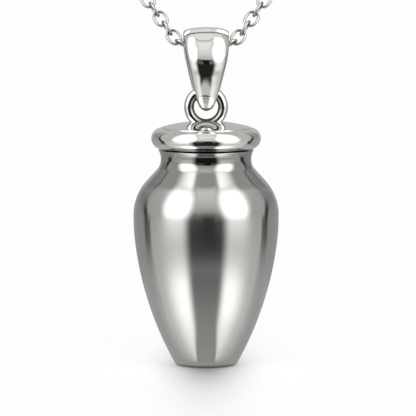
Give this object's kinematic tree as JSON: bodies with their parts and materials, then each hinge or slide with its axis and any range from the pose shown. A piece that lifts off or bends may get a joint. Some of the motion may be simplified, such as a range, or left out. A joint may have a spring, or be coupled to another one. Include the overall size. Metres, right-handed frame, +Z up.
{
  "type": "keepsake urn pendant",
  "caption": "Hollow keepsake urn pendant with a domed lid, hanging by a ring and a tapered bail from a cable chain necklace.",
  "frame": {"origin": "middle of the clasp at the nape, where the worn necklace hangs", "axes": "+Z up, the pendant hangs in front toward -Y, X runs from shoulder to shoulder"},
  "size_m": [0.1266, 0.1099, 0.164],
  "materials": {
    "urn_steel": "polished, slightly soft",
    "bright_steel": "mirror polished",
    "chain_steel": "polished"
  },
  "bodies": {
    "necklace": {"chain_front": "chain_steel", "chain_back": "chain_steel", "clasp": "chain_steel"},
    "bail": {"bail": "bright_steel"},
    "lid": {"lid": "bright_steel"},
    "urn": {"urn": "urn_steel"}
  },
  "joints": [
    {"name": "bail_swing", "type": "hinge", "parent": "necklace", "child": "bail", "pos_m": [0, -0.1, -0.1223], "axis": [0.9969, 0.0785, 0], "range_deg": [-40, 40]},
    {"name": "ring_swing", "type": "hinge", "parent": "bail", "child": "lid", "pos_m": [0, -0.1, -0.1295], "axis": [0, 1, 0], "range_deg": [-30, 30]},
    {"name": "urn_pull", "type": "slide", "parent": "lid", "child": "urn", "axis": [0, 0, -1], "range_m": [0, 0.004]}
  ]
}
